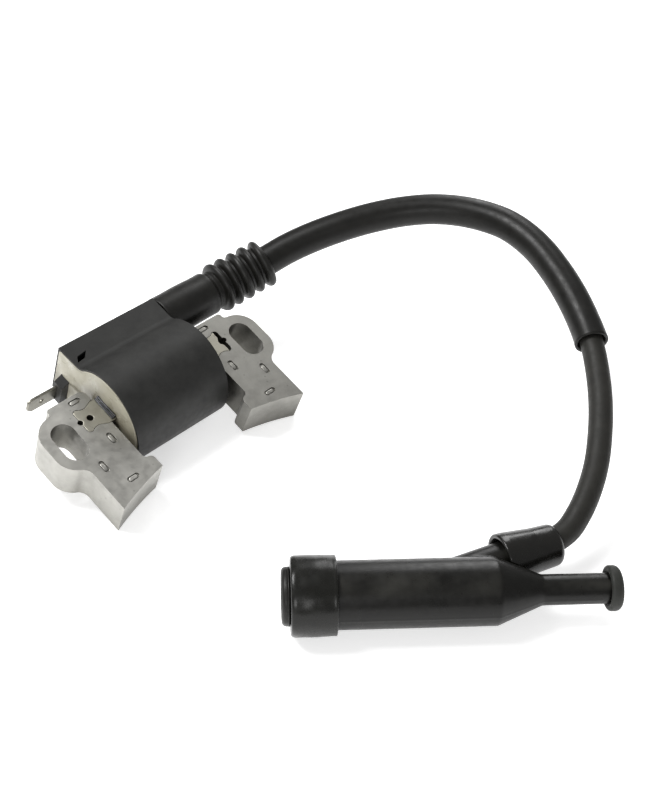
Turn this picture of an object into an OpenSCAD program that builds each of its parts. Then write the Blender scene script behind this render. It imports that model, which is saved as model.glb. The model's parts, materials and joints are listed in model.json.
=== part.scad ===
// Transistorised ignition coil for a small engine, with its lead and plug cap.
// Millimetres. The floor is z = 0. +X runs along the coil towards the lead.

/* [Core] */
// Distance between the two bolt slots
slot_spacing = 60; // [56:0.5:68]
// Width of each bolt slot
slot_w = 6.4; // [6:0.1:7.2]
// Straight travel of a bolt in its slot
slot_travel = 5; // [3:0.5:7]
// Thickness of the lamination stack
stack_t = 10.8; // [8:0.2:14]
// Radius of the pole faces, flywheel plus air gap
pole_r = 90; // [80:1:110]
// Width of the centre bar
bar_w = 7.8; // [6:0.2:9]
// Depth of the lamination interlocks
dimple_d = 0.35; // [0.1:0.05:0.8]
// Lean of the coil as it lies on its pole tips and case
lean = 20; // [10:1:30]

/* [Case] */
// Radius of the round part of the case
case_r = 13.9; // [12:0.1:16]
// Wall of the case
case_wall = 1.1; // [0.8:0.1:2]
// Open end of the case
case_x0 = -15.8; // [-17:0.1:-14]
// How much further the open end reaches at the back
end_slant = 0.6; // [0:0.05:1.5]
// Closed end of the case
case_x1 = 15; // [14:0.1:16.5]
// Back of the square block
block_y = 33.3; // [30:0.1:36]
// Half height of the square block
block_h = 8.4; // [7:0.1:10]
// Radius of the tower that takes the lead
tower_r = 4.8; // [4.2:0.1:5.4]

/* [Terminal] */
// Width of the kill terminal blade
blade_w = 5; // [4.8:0.1:6.3]
// Thickness of the kill terminal blade
blade_t = 0.8; // [0.5:0.1:1]
// Reach of the blade from its holder
blade_l = 8.7; // [6:0.1:10]

/* [Boot and lead] */
// Outer diameter of the lead
lead_d = 6.2; // [5:0.1:7.5]
// Outer diameter of the protective sleeve
sleeve_d = 8.8; // [8:0.1:10]
// Wall of the protective sleeve
sleeve_wall = 0.85; // [0.6:0.05:1.2]
// Radius of the smooth end of the bellows boot
boot_r = 6.2; // [5.6:0.1:7]
// Radius of the bellows ridges
ridge_r = 7.2; // [6.6:0.1:7.6]
// Thickness of the bellows ridges
ridge_t = 2.5; // [1.8:0.1:2.8]
// Radius of the grooves between the ridges
groove_r = 5.6; // [5.3:0.1:6]
// Number of ridges
ridge_n = 5; // [3:1:5]

/* [Plug cap] */
// Radius of the cap's tube
tube_r = 7.85; // [7:0.05:9]
// Length of the tube up to the cone
tube_l = 46.9; // [40:0.1:60]
// Length of the cone
cone_l = 10.5; // [8:0.1:14]
// Radius of the neck
neck_r = 3.55; // [3:0.05:4.5]
// Length of the neck
neck_l = 15.7; // [10:0.1:20]
// Radius of the pull knob
knob_r = 5.25; // [4.5:0.05:6.5]
// Length of the pull knob
knob_l = 3; // [2.6:0.1:5]
// Radius of the seal collar
collar_r = 9.3; // [8.6:0.1:11]
// Length of the seal collar
collar_l = 10.6; // [8:0.1:14]
// Radius of the hole that grips the plug's insulator
plug_r = 5.3; // [5:0.05:5.6]
// Radius of the hole that takes the plug's terminal
terminal_r = 3.3; // [3.2:0.05:3.5]
// Angle between the branch and the tube
branch_a = 22; // [15:1:40]

/* [Hidden] */
$fn = 96;
e = 0.05;
leg_in = 17.65;
leg_out = 30.95;
leg_back = 21;
slot_x = slot_spacing / 2;
slot_y = 10.3;
ear_r = 6.1;
toe_x = 15.3;
toe_y = -8;
pole_y = toe_y - sqrt(pole_r * pole_r - toe_x * toe_x);
tip_y = pole_y + sqrt(pole_r * pole_r - leg_out * leg_out);
bar_y = 13.35;
coil_y = 13.8;
rest_z = -tip_y * sin(lean) + stack_t / 2 * cos(lean);
front_y = tip_y * cos(lean) - stack_t / 2 * sin(lean);
back_y = block_y * cos(lean) + block_h * sin(lean);
rest_y = -(front_y + back_y) / 2;
tower_y = 29.8;
tower_z = 2.1;
tower_l = 16;
boot_x0 = 15.6;
boot_bore = sleeve_d / 2 + 0.35;
boot_askew = 3.5;
slant_y = 20.5;
pocket_pos = [-13.15, 27.9];
cap_pos = [-22, -71, collar_r];
cap_yaw = -43.5;
branch_x = 26;
lead_end = 16;
cone_x = tube_l + cone_l;
neck_x = cone_x + neck_l;
knob_x = neck_x - 0.6;

// a point of the coil's own frame, seen from the floor
function on_floor(p) = [
    p[0],
    rest_y + p[1] * cos(lean) - p[2] * sin(lean),
    rest_z + p[1] * sin(lean) + p[2] * cos(lean)
];
// a point on the branch axis, seen from the floor
function on_branch(s) = [
    cap_pos[0] + branch_x * cos(cap_yaw) + s * cos(cap_yaw + branch_a),
    cap_pos[1] + branch_x * sin(cap_yaw) + s * sin(cap_yaw + branch_a),
    cap_pos[2]
];

// centre line of the lead, from the tower to the branch of the cap
route = [
    on_floor([19.5, tower_y, tower_z]),
    on_floor([30, tower_y, tower_z]),
    on_floor([33, tower_y, tower_z]),
    [37.5, 16.4, 21.8],
    [41, 15.8, 22.4],
    [44.4, 14.9, 23.2],
    [47.8, 14, 24.1],
    [51.1, 12.9, 25.1],
    [59.1, 10.2, 27.9],
    [66.8, 6.5, 30.4],
    [74.3, 2.1, 32.6],
    [81.5, -2.6, 34.3],
    [88.2, -8.2, 35.8],
    [94, -15, 37],
    [98.4, -23, 37.6],
    [101.1, -32.3, 37.6],
    [101.3, -38.8, 37.1],
    [99.9, -46.9, 35.9],
    [96.5, -56.2, 33.9],
    [92.3, -64.9, 31.5],
    [87.6, -72.8, 28.8],
    [84.6, -77, 27.2],
    [79.1, -82.9, 24.7],
    [72.3, -89, 21.9],
    [65.2, -94.2, 19.2],
    [57.2, -99, 16.4],
    [49.4, -102.3, 14.1],
    [43.5, -103.9, 12.2],
    [38.5, -104.4, 10.4],
    on_branch(39),
    on_branch(35),
    on_branch(28),
    on_branch(22),
    on_branch(lead_end)
];
first_ridge = 3;
sleeve_from = 4;
sleeve_to = 21;

function unit(v) = v / norm(v);
// direction of the route at point i
function heading(i) =
    i == 0 ? unit(route[1] - route[0]) :
    i == len(route) - 1 ? unit(route[i] - route[i - 1]) :
    unit(unit(route[i + 1] - route[i]) + unit(route[i] - route[i - 1]));
// point and direction half way between i and i + 1, on a smooth curve
function half_way(i) =
    let (h = norm(route[i + 1] - route[i]))
    (route[i] + route[i + 1]) / 2 + (heading(i) - heading(i + 1)) * h / 8;
function half_heading(i) =
    let (h = norm(route[i + 1] - route[i]))
    unit((route[i + 1] - route[i]) * 1.5 / h - (heading(i) + heading(i + 1)) / 4);
// rings of a round tube of radius r round the route, n sides
function ring(p, t, r, n) =
    let (u = unit(cross(t, [0, 0, 1])), v = cross(u, t))
    [for (k = [0 : n - 1]) p + r * (cos(360 * k / n) * u + sin(360 * k / n) * v)];
function rings(a, b, r, n) = [
    for (i = [a : b]) each concat(
        [ring(route[i], heading(i), r, n)],
        i < b ? [ring(half_way(i), half_heading(i), r, n)] : []
    )
];
// side faces between ring j and ring j + 1, starting at point o
function skin(m, n, o, flip) = [
    for (j = [0 : m - 2])
        for (k = [0 : n - 1])
            let (
                a = o + j * n + k,
                b = o + j * n + (k + 1) % n,
                c = b + n,
                d = a + n
            )
            flip ? [d, c, b, a] : [a, b, c, d]
];

module solid_cord(a, b, r, n) {
    sets = rings(a, b, r, n);
    m = len(sets);
    points = [for (s = sets) each s];
    start = [[for (k = [n - 1 : -1 : 0]) k]];
    finish = [[for (k = [0 : n - 1]) (m - 1) * n + k]];
    polyhedron(points = points, faces = concat(start, skin(m, n, 0, false), finish));
}

// tube whose outside and inside are lists of rings with n points each
module hollow_loft(outer, inner, n) {
    m = len(outer);
    o = m * n;
    z = (m - 1) * n;
    points = concat([for (s = outer) each s], [for (s = inner) each s]);
    start = [for (k = [0 : n - 1]) [(k + 1) % n, k, o + k, o + (k + 1) % n]];
    finish = [for (k = [0 : n - 1])
        [z + k, z + (k + 1) % n, o + z + (k + 1) % n, o + z + k]];
    polyhedron(
        points = points,
        faces = concat(skin(m, n, 0, false), skin(m, n, o, true), start, finish)
    );
}

module hollow_cord(a, b, r_out, r_in, n) {
    hollow_loft(rings(a, b, r_out, n), rings(a, b, r_in, n), n);
}

// coil parts are drawn square to the lamination stack, then leaned over
module coil_frame() {
    translate([0, rest_y, rest_z])
        rotate([lean, 0, 0])
            children();
}

// cap parts are drawn with the tube along X, mouth at x = 0
module cap_frame() {
    translate(cap_pos)
        rotate([0, 0, cap_yaw])
            children();
}

module branch_frame() {
    cap_frame()
        translate([branch_x, 0, 0])
            rotate([0, 0, branch_a])
                children();
}

// cylinder along X from x0 to x1
module rod(x0, x1, r, r2 = -1) {
    translate([x0, 0, 0])
        rotate([0, 90, 0])
            cylinder(h = x1 - x0, r1 = r, r2 = r2 < 0 ? r : r2);
}

// outline in the YZ plane, drawn out along X
module along_x(x0, x1) {
    translate([x0, 0, 0])
        rotate([90, 0, 90])
            linear_extrude(height = x1 - x0)
                children();
}

// outline of radius over length, turned about X
module turned() {
    rotate([90, 0, 90])
        rotate_extrude()
            children();
}

module box(x0, x1, y0, y1, z0, z1) {
    translate([x0, y0, z0])
        cube([x1 - x0, y1 - y0, z1 - z0]);
}

module area(x0, x1, y0, y1) {
    translate([x0, y0])
        square([x1 - x0, y1 - y0]);
}

module slot_shape(l, w) {
    area(-w / 2, w / 2, -l / 2, l / 2);
    for (s = [-1, 1])
        translate([0, s * l / 2])
            circle(d = w);
}

// quarter fillet filling the corner at (x, y) that opens towards (sx, sy)
module fillet(x, y, sx, sy, r) {
    difference() {
        translate([sx > 0 ? x - e : x - r, sy > 0 ? y - e : y - r])
            square(r + e);
        translate([x + sx * r, y + sy * r])
            circle(r = r);
    }
}

// fish-tail end of the centre bar, g wider all round
module tail(g) {
    polygon([
        [leg_in - 0.6, -bar_w / 2 - g],
        [leg_in + 0.7, -bar_w / 2 - g],
        [20.7, -2.9 - g],
        [21.5, -2.9 - g],
        [23, -3.3 - g],
        [24.3 + g, -2.6],
        [24.3 + g, 2.6],
        [23, 3.3 + g],
        [21.5, 2.9 + g],
        [20.7, 2.9 + g],
        [leg_in + 0.7, bar_w / 2 + g],
        [leg_in - 0.6, bar_w / 2 + g]
    ]);
    for (s = [-1, 1])
        translate([23.35, s * 2.65])
            circle(r = 0.95 + g);
}

module leg_outline() {
    difference() {
        union() {
            area(leg_in, leg_out, -14, 15);
            area(leg_in, 29.3, 14, 19.1);
            area(19.55, 28.4, 19, leg_back);
            area(28.3, 29.3, 19, 20.1);
            translate([19.55, 19.1])
                circle(r = 1.9);
            translate([28.4, 20.1])
                circle(r = 0.9);
            translate([slot_x, slot_y])
                slot_shape(slot_travel, ear_r * 2);
            ear_fillet();
            fillet(29.3, 18.97, 1, 1, 0.9);
            area(toe_x, leg_in + 1, -9.5, -5.2);
            translate([toe_x + 1.4, -5.2])
                circle(r = 1.4);
            area(toe_x + 1.4, leg_in + 1, -5.3, -3.8);
            fillet(leg_in, -3.8, -1, 1, 1.2);
        }
        translate([0, pole_y])
            circle(r = pole_r, $fn = 360);
    }
}

// concave fillet between the ear and the pole arm
module ear_fillet() {
    fr = 3;
    cx = leg_out + fr;
    oy = slot_y - slot_travel / 2;
    cy = oy - sqrt(pow(ear_r + fr, 2) - pow(cx - slot_x, 2));
    difference() {
        polygon([
            [leg_out - 1, cy],
            [cx, cy],
            [slot_x + (cx - slot_x) * ear_r / (ear_r + fr), oy - (oy - cy) * ear_r / (ear_r + fr)],
            [slot_x, oy]
        ]);
        translate([cx, cy])
            circle(r = fr);
    }
}

// centres and turns of the lamination interlocks
dimples = [
    [20.7, 5.5, 0],
    [27.5, 0, 0],
    [23.5, -6.5, 90],
    [21.8, 19.2, 90]
];

module leg() {
    difference() {
        linear_extrude(height = stack_t, center = true)
            difference() {
                leg_outline();
                translate([slot_x, slot_y])
                    slot_shape(slot_travel, slot_w);
                translate([0, bar_y])
                    tail(0.12);
                translate([24.4, bar_y])
                    circle(r = 0.75);
            }
        for (d = dimples)
            translate([d[0], d[1], stack_t / 2 - dimple_d])
                rotate([0, 0, d[2]])
                    linear_extrude(height = 1)
                        slot_shape(2.1, 1.5);
    }
}

module left_core_leg() {
    color([0.66, 0.65, 0.63])
        coil_frame()
            mirror([1, 0, 0])
                leg();
}

module right_core_leg() {
    color([0.62, 0.61, 0.59])
        coil_frame()
            leg();
}

module core_bar() {
    color([0.7, 0.68, 0.62])
        coil_frame()
            translate([0, bar_y, 0])
                linear_extrude(height = stack_t, center = true)
                    difference() {
                        union() {
                            area(-leg_in, leg_in, -bar_w / 2, bar_w / 2);
                            mirror([1, 0])
                                tail(0);
                            intersection() {
                                tail(0);
                                area(0, 23.3, -5, 5);
                            }
                        }
                        translate([-21.4, -0.1])
                            circle(r = 0.9);
                        translate([-24.4, 0])
                            circle(r = 0.75);
                        translate([24.1, 0])
                            circle(r = 1.5);
                    }
}

// outline of the case, d further out
module case_outline(d) {
    fr = 3 - d;
    cr = case_r + d;
    h = block_h + d;
    cz = h + fr;
    reach = sqrt(pow(cr + fr, 2) - cz * cz);
    translate([coil_y, 0])
        circle(r = cr, $fn = 180);
    area(coil_y, block_y + d, -h, h);
    for (s = [-1, 1])
        scale([1, s])
            difference() {
                polygon([
                    [coil_y, h - 1],
                    [coil_y + reach, h - 1],
                    [coil_y + reach, h],
                    [coil_y + reach * cr / (cr + fr), cz * cr / (cr + fr)]
                ]);
                translate([coil_y + reach, cz])
                    circle(r = fr);
            }
}

// everything behind the plane of the open end, d further in
module behind_end(d) {
    slope = end_slant / (block_y - slant_y);
    linear_extrude(height = 40, center = true)
        polygon([
            [case_x0 + d, -10],
            [case_x0 + d, slant_y],
            [case_x0 + d - slope * (block_y + 1 - slant_y), block_y + 1],
            [case_x1 + 1, block_y + 1],
            [case_x1 + 1, -10]
        ]);
}

// rhombic pocket moulded into the flat
module pocket() {
    translate([pocket_pos[0], pocket_pos[1], 6])
        linear_extrude(height = 4)
            polygon([[-0.92, 0.6], [2.17, 1.02], [0.57, -0.71], [-1.94, -1.05]]);
}

// box that holds the pocket, g larger all round
module pocket_box(g) {
    translate([pocket_pos[0], pocket_pos[1], 0])
        box(-2.5 - g, 2.7 + g, -1.6 - g, 1.6 + g, 5.4 - g, block_h - 0.5);
}

module coil_case() {
    color([0.16, 0.16, 0.155])
        coil_frame()
            difference() {
                union() {
                    intersection() {
                        along_x(case_x0 - 3, case_x1)
                            case_outline(0);
                        behind_end(0);
                    }
                    translate([0, tower_y, tower_z])
                        rod(case_x1 - 1, case_x1 + tower_l, tower_r);
                }
                difference() {
                    along_x(case_x0 - 4, case_x1 - 1.5)
                        case_outline(-case_wall);
                    pocket_box(0);
                }
                box(10, 20, bar_y - bar_w / 2 - 0.15, bar_y + bar_w / 2 + 0.15,
                    -stack_t / 2 - 0.15, stack_t / 2 + 0.15);
                translate([0, tower_y, tower_z])
                    rod(16.9, 40, lead_d / 2 + 0.15);
                translate([0, tower_y, tower_z])
                    rod(10, 20, 1.15);
                pocket();
            }
}

// clearance box round each part that the resin is cast over
module cast_over() {
    g = e;
    translate([0, coil_y, 0])
        rod(-13.6, 20, 11.6);
    box(-20, 20, bar_y - bar_w / 2 - g, bar_y + bar_w / 2 + g,
        -stack_t / 2 - g, stack_t / 2 + g);
    box(-13.3 - g, 7.3 + g, 30.4 - g, 31.6 + g, -6.7 - g, 6.7 + g);
    box(-7 - g, 1 + g, 27.6 - g, 30.5, -6.5 - g, 6 + g);
    box(2.4 - g, 6.6 + g, 27.9 - g, 30.5, -6 - g, 6 + g);
    box(-30, -11.8 + g, 29.2 - g, 30.5, -7.3 - g, -3.1 + g);
    box(-20, -14.9 + g, 27.2 - g, 30.4 + g, -8, 1.2 + g);
    pocket_box(g);
    translate([0, tower_y, tower_z])
        rod(11, 20, 1.1);
    box(10.6 - g, 12.2 + g, 24, 31.2 + g, 0.6 - g, 3.6 + g);
}

module potting_fill() {
    color([0.78, 0.75, 0.64])
        coil_frame()
            difference() {
                intersection() {
                    along_x(case_x0 - 3, case_x1 - 1.55)
                        case_outline(-case_wall - e);
                    behind_end(0.1);
                }
                cast_over();
            }
}

module primary_bobbin() {
    color([0.85, 0.83, 0.76])
        coil_frame()
            translate([0, coil_y, 0])
                difference() {
                    union() {
                        rod(-13.4, 13.3, 7.5);
                        rod(-13.4, -12.6, 9);
                        rod(12.5, 13.3, 9);
                    }
                    translate([0, bar_y - coil_y, 0])
                        box(-20, 20, -bar_w / 2 - e, bar_w / 2 + e,
                            -stack_t / 2 - e, stack_t / 2 + e);
                }
}

module primary_winding() {
    color([0.72, 0.4, 0.2])
        coil_frame()
            translate([0, coil_y, 0])
                difference() {
                    rod(-12.55, 12.45, 8.9);
                    rod(-20, 20, 7.55);
                }
}

module secondary_bobbin() {
    color([0.82, 0.8, 0.72])
        coil_frame()
            translate([0, coil_y, 0])
                difference() {
                    union() {
                        rod(-13.4, 13.3, 9.9);
                        for (x = [-13.4, -7, -0.5, 6, 12.4])
                            rod(x, x + 0.9, 11.5);
                    }
                    rod(-20, 20, 9.1);
                }
}

module secondary_winding() {
    color([0.66, 0.33, 0.16])
        coil_frame()
            translate([0, coil_y, 0])
                for (x = [-12.45, -6.05, 0.45, 6.95])
                    difference() {
                        rod(x, x + 5.4, 11.2);
                        rod(-20, 20, 9.95);
                    }
}

module ignition_board() {
    color([0.1, 0.35, 0.18])
        coil_frame()
            box(-13.3, 7.3, 30.4, 31.6, -6.7, 6.7);
}

module switch_transistor() {
    color([0.1, 0.1, 0.1])
        coil_frame() {
            difference() {
                box(-7, 1, 27.6, 30.1, -1.5, 6);
                translate([-3, 31, 4])
                    rotate([90, 0, 0])
                        cylinder(h = 5, r = 1.5);
            }
            for (x = [-5.5, -3, -0.5]) {
                box(x - 0.4, x + 0.4, 28.6, 29.1, -5.8, -1.5);
                box(x - 0.4, x + 0.4, 28.6, 30.35, -6.4, -5.8);
            }
        }
}

module board_resistors() {
    color([0.55, 0.42, 0.25])
        coil_frame()
            for (x = [3.4, 5.6]) {
                translate([x, 29, -3])
                    cylinder(h = 6, r = 0.95);
                translate([x, 29, -5.6])
                    cylinder(h = 11.2, r = 0.3);
                for (s = [-1, 1])
                    box(x - 0.3, x + 0.3, 28.7, 30.35, s * 5.4 - 0.3, s * 5.4 + 0.3);
            }
}

// blade outline in the XZ plane, tip towards -X
module blade_outline() {
    z0 = -7.7;
    polygon([
        [-18.6, z0],
        [-18.8 - blade_l + 1.3, z0],
        [-18.8 - blade_l, z0 + 1.2],
        [-18.8 - blade_l, z0 + blade_w - 0.7],
        [-18.8 - blade_l + 1.3, z0 + blade_w],
        [-18.6, z0 + blade_w]
    ]);
}

module kill_terminal() {
    color([0.68, 0.68, 0.64])
        coil_frame() {
            difference() {
                translate([0, 29.2 + blade_t, 0])
                    rotate([90, 0, 0])
                        linear_extrude(height = blade_t)
                            blade_outline();
                translate([-23.2, 31, -5.2])
                    rotate([90, 0, 0])
                        cylinder(h = 4, r = 0.75);
            }
            box(-18.7, -11.8, 29.2, 29.2 + blade_t, -7.2, -3.2);
            box(-12.9, -11.8, 29.2, 30.35, -7.2, -3.2);
        }
}

module terminal_holder() {
    color([0.1, 0.1, 0.1])
        coil_frame()
            difference() {
                translate([0, 30.4, 0])
                    rotate([90, 0, 0])
                        linear_extrude(height = 3.2)
                            polygon([
                                [-18.8, -7.9],
                                [-16.5, -7.9],
                                [-16.5, -7.2],
                                [-14.9, -7.2],
                                [-14.9, 1.2],
                                [-15.7, 1.2],
                                [-18.8, -1.1]
                            ]);
                box(-19, -14, 29.15, 29.25 + blade_t, -7.75, -2.65);
            }
}

module ground_clip() {
    color([0.5, 0.52, 0.58])
        coil_frame() {
            box(-17.2, -15.75, 9.9, 17.1, stack_t / 2 + 0.02, stack_t / 2 + 0.35);
            box(-16.5, -16, 9.9, 17.1, stack_t / 2 + 0.02, stack_t / 2 + 0.9);
        }
}

module ht_contact() {
    color([0.78, 0.62, 0.3])
        coil_frame() {
            translate([0, tower_y, tower_z]) {
                rod(11.4, 19.2, 1);
                rod(16.95, 17.9, 2.9);
            }
            box(10.7, 12.1, 25.6, 31.1, 0.7, 3.5);
        }
}

// stations of the boot's smooth end: place along the tower, outer and inner radius
tower_end = case_x1 + tower_l;
smooth_end = [
    [boot_x0, boot_r - 0.4, tower_r + 0.1],
    [boot_x0 + 0.4, boot_r, tower_r + 0.1],
    [tower_end + 0.3, boot_r, tower_r + 0.1],
    [tower_end + 0.4, boot_r, boot_bore],
    [33, boot_r, boot_bore],
    [34.2, boot_r - 0.6, boot_bore],
    [34.8, groove_r - 0.2, boot_bore]
];
// stations of each ridge, as parts of half its thickness
ridge_steps = [-1, -0.75, 0, 0.75, 1];
function ridge_height(u) = groove_r + (ridge_r - groove_r) * sqrt(1 - u * u);
// point, direction, outer and inner radius of every station of the boot
boot_stations = concat(
    [for (s = smooth_end) [on_floor([s[0], tower_y, tower_z]), [1, 0, 0], s[1], s[2]]],
    [for (i = [first_ridge : first_ridge + ridge_n - 1])
        for (u = ridge_steps)
            [route[i] + u * ridge_t / 2 * heading(i), heading(i), ridge_height(u), boot_bore]]
);

module bellows_boot() {
    n = 24;
    color([0.09, 0.09, 0.09])
        hollow_loft(
            [for (s = boot_stations) ring(s[0], s[1], s[2], n)],
            [for (s = boot_stations) ring(s[0], s[1], s[3], n)],
            n
        );
}

module ignition_lead() {
    color([0.13, 0.13, 0.12])
        solid_cord(0, len(route) - 1, lead_d / 2, 12);
}

module lead_sleeve() {
    color([0.1, 0.1, 0.1])
        hollow_cord(sleeve_from, sleeve_to, sleeve_d / 2, sleeve_d / 2 - sleeve_wall, 12);
}

module lead_core_end() {
    color([0.72, 0.4, 0.2])
        branch_frame()
            rod(8, lead_end, 1);
}

// outside of the tube, cone and neck, g further out
module cap_outside(g) {
    rod(1 - g, tube_l, tube_r + g);
    rod(tube_l, cone_x, tube_r + g, neck_r + g);
    rod(cone_x - e, neck_x, neck_r + g);
}

module cap_body() {
    color([0.12, 0.12, 0.12])
        cap_frame()
            difference() {
                union() {
                    cap_outside(0);
                    rod(neck_x - 1, neck_x + 1, 2.4);
                    translate([branch_x, 0, 0])
                        rotate([0, 0, branch_a])
                            rod(2, 31, 4.2);
                    linear_extrude(height = 3.2, center = true)
                        polygon([[36, 5], [50, 5], [50.4, 8.6], [40, 8.2]]);
                }
                rod(0, 20.2, 6.3);
                rod(20, 30.45, 4.25);
                rod(30, 34, 1.6);
                translate([branch_x, 0, 0])
                    rotate([0, 0, branch_a]) {
                        rod(5.4, 14, 2.35);
                        rod(13.6, 40, lead_d / 2 + 0.1);
                    }
            }
}

// outline of the branch boot, radius over length from its mouth
module branch_boot_outline() {
    polygon([
        [0, 0],
        [5.9, 0],
        [6.15, 0.3],
        [6.15, 1.8],
        [5.35, 8.8],
        [5.1, 13.4],
        [0, 13.4]
    ]);
    area(0, 3.4, 13, 15.1);
    difference() {
        translate([3.4, 13.4])
            circle(r = 1.7);
        area(-9, 0, 0, 20);
    }
}

module branch_boot() {
    mouth = 25.2;
    color([0.08, 0.08, 0.08])
        difference() {
            branch_frame()
                translate([mouth, 0, 0])
                    rotate([0, 0, -boot_askew])
                        turned()
                            branch_boot_outline();
            branch_frame() {
                rod(20, 31.3, 4.25);
                rod(mouth - 1, mouth + 2.4, 5.8, 4.25);
                rod(31, 50, lead_d / 2 + 0.4, lead_d / 2 + 0.9);
            }
            cap_frame()
                cap_outside(0.15);
        }
}

module lead_contact() {
    color([0.78, 0.62, 0.3]) {
        branch_frame()
            difference() {
                rod(6, 13, 2.2);
                rod(7, 14, 1.1);
            }
        cap_frame()
            rod(30.42, 32.2, 1.4);
    }
}

module plug_socket() {
    color([0.8, 0.66, 0.34])
        cap_frame()
            difference() {
                rod(20.4, 30.4, 4.15);
                rod(20, 28.4, terminal_r);
                difference() {
                    rod(23.6, 24.6, 5);
                    rod(23, 25, 3.65);
                }
            }
}

module snap_ring() {
    color([0.7, 0.7, 0.68])
        cap_frame()
            turned()
                translate([3.95, 24.1])
                    circle(r = 0.27, $fn = 24);
}

module seal_collar() {
    color([0.14, 0.14, 0.12])
        cap_frame()
            difference() {
                union() {
                    rod(0, 0.5, collar_r - 0.4, collar_r);
                    rod(0.5, collar_l, collar_r);
                }
                rod(1, collar_l + 1, tube_r + e);
                rod(-1, 2, 6.85);
            }
}

module plug_lip_seal() {
    color([0.1, 0.1, 0.1])
        cap_frame()
            difference() {
                union() {
                    rod(-2, -1.2, 5.9, 6.75);
                    rod(-1.2, -0.1, 6.75);
                    rod(-0.2, 13, 6.25);
                }
                rod(-3, 14, plug_r);
            }
}

module pull_knob() {
    near = 0.8;
    far = 1.3;
    color([0.15, 0.155, 0.13])
        cap_frame()
            turned()
                difference() {
                    union() {
                        area(2.45, knob_r, knob_x + near, knob_x + knob_l - far);
                        area(2.45, knob_r - far, knob_x, knob_x + knob_l);
                        area(0, 3, knob_x + 1.75, knob_x + knob_l);
                        translate([knob_r - near, knob_x + near])
                            circle(r = near);
                        translate([knob_r - far, knob_x + knob_l - far])
                            circle(r = far);
                    }
                    area(0, neck_r + 0.4, knob_x - 1, knob_x + 0.65);
                    area(-9, 0, 0, 90);
                }
}

left_core_leg();
right_core_leg();
core_bar();
coil_case();
potting_fill();
primary_bobbin();
primary_winding();
secondary_bobbin();
secondary_winding();
ignition_board();
switch_transistor();
board_resistors();
kill_terminal();
terminal_holder();
ground_clip();
ht_contact();
bellows_boot();
ignition_lead();
lead_sleeve();
lead_core_end();
cap_body();
branch_boot();
lead_contact();
plug_socket();
snap_ring();
seal_collar();
plug_lip_seal();
pull_knob();
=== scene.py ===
import json
import math

import bmesh
import bpy
import numpy as np
from mathutils import Matrix, Quaternion, Vector, noise


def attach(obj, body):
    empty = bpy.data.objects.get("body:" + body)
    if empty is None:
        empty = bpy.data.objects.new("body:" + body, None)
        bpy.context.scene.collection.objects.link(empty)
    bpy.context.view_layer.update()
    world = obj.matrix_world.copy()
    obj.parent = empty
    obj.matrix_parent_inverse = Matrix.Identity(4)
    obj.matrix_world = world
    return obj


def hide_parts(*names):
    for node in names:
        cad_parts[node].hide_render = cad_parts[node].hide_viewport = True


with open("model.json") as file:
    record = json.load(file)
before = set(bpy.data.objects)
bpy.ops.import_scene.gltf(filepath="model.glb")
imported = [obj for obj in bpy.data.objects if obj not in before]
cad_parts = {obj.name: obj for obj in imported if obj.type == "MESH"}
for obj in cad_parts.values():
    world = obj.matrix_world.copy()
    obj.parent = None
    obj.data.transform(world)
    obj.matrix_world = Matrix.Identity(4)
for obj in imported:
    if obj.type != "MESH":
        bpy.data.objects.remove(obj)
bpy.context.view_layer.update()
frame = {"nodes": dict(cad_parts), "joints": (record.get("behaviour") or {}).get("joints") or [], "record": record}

MM = 0.001
ROOT = "coil_module"
CAP_BODY = "plug_cap"
NODES = frame["nodes"]
RECORD = frame["record"]


# ---------------------------------------------------------------- frames of the part

def mount(name):
    """Place, in metres, and direction of one of the record's mounts."""
    found = next(m for m in RECORD["mounts"] if m["name"] == name)
    return Vector(found["pos_m"]), Vector(found["axis"]).normalized()


def frame_at(origin, x, z):
    """Matrix of a frame with this origin, whose X and Z point along x and z."""
    z = (z - z.dot(x) * x).normalized()
    m = Matrix((x, z.cross(x), z)).transposed().to_4x4()
    m.translation = origin
    return m


def place(m, x, y, z):
    """A point given in millimetres in frame m, in metres in the row frame."""
    return m @ (Vector((x, y, z)) * MM)


SLOT_X, SLOT_Y = 30.0, 10.3
PLUG_BORE_X = 5.5
UP = Vector((0, 0, 1))

left_slot, leg_up = mount("left_slot")
right_slot, _ = mount("right_slot")
along = (right_slot - left_slot).normalized()
COIL = frame_at(right_slot, along, leg_up)
COIL.translation = place(COIL, -SLOT_X, -SLOT_Y, 0)

bore_at, bore_out = mount("plug_bore")
CAP = frame_at(bore_at, -bore_out, UP)
CAP.translation = place(CAP, -PLUG_BORE_X, 0, 0)

swivel = frame["joints"][0]
BRANCH = frame_at(Vector(swivel["pos_m"]), Vector(swivel["axis"]).normalized(), UP)

TOWER_Y, TOWER_Z, TOWER_END = 29.8, 2.1, 31
TOWER = frame_at(place(COIL, 0, TOWER_Y, TOWER_Z), along, leg_up)


# ---------------------------------------------------------------- camera, floor, light

def add_camera():
    """At the photograph's angle: 40 degrees down, from the front left, 330 mm away."""
    data = bpy.data.cameras.new("camera")
    data.sensor_fit = "HORIZONTAL"
    data.sensor_width = 36.0
    data.lens = 67.76
    data.clip_start = 0.01
    camera = bpy.data.objects.new("camera", data)
    bpy.context.scene.collection.objects.link(camera)
    eye = Vector((-0.15332, -0.19994, 0.22114))
    aim = Vector((0.0333, -0.02984, 0.010))
    roll = math.radians(1.69)
    turn = (aim - eye).to_track_quat("-Z", "Y")
    camera.location = eye
    camera.rotation_mode = "QUATERNION"
    camera.rotation_quaternion = turn @ Quaternion((0, 0, 1), roll)
    bpy.context.scene.camera = camera


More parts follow.
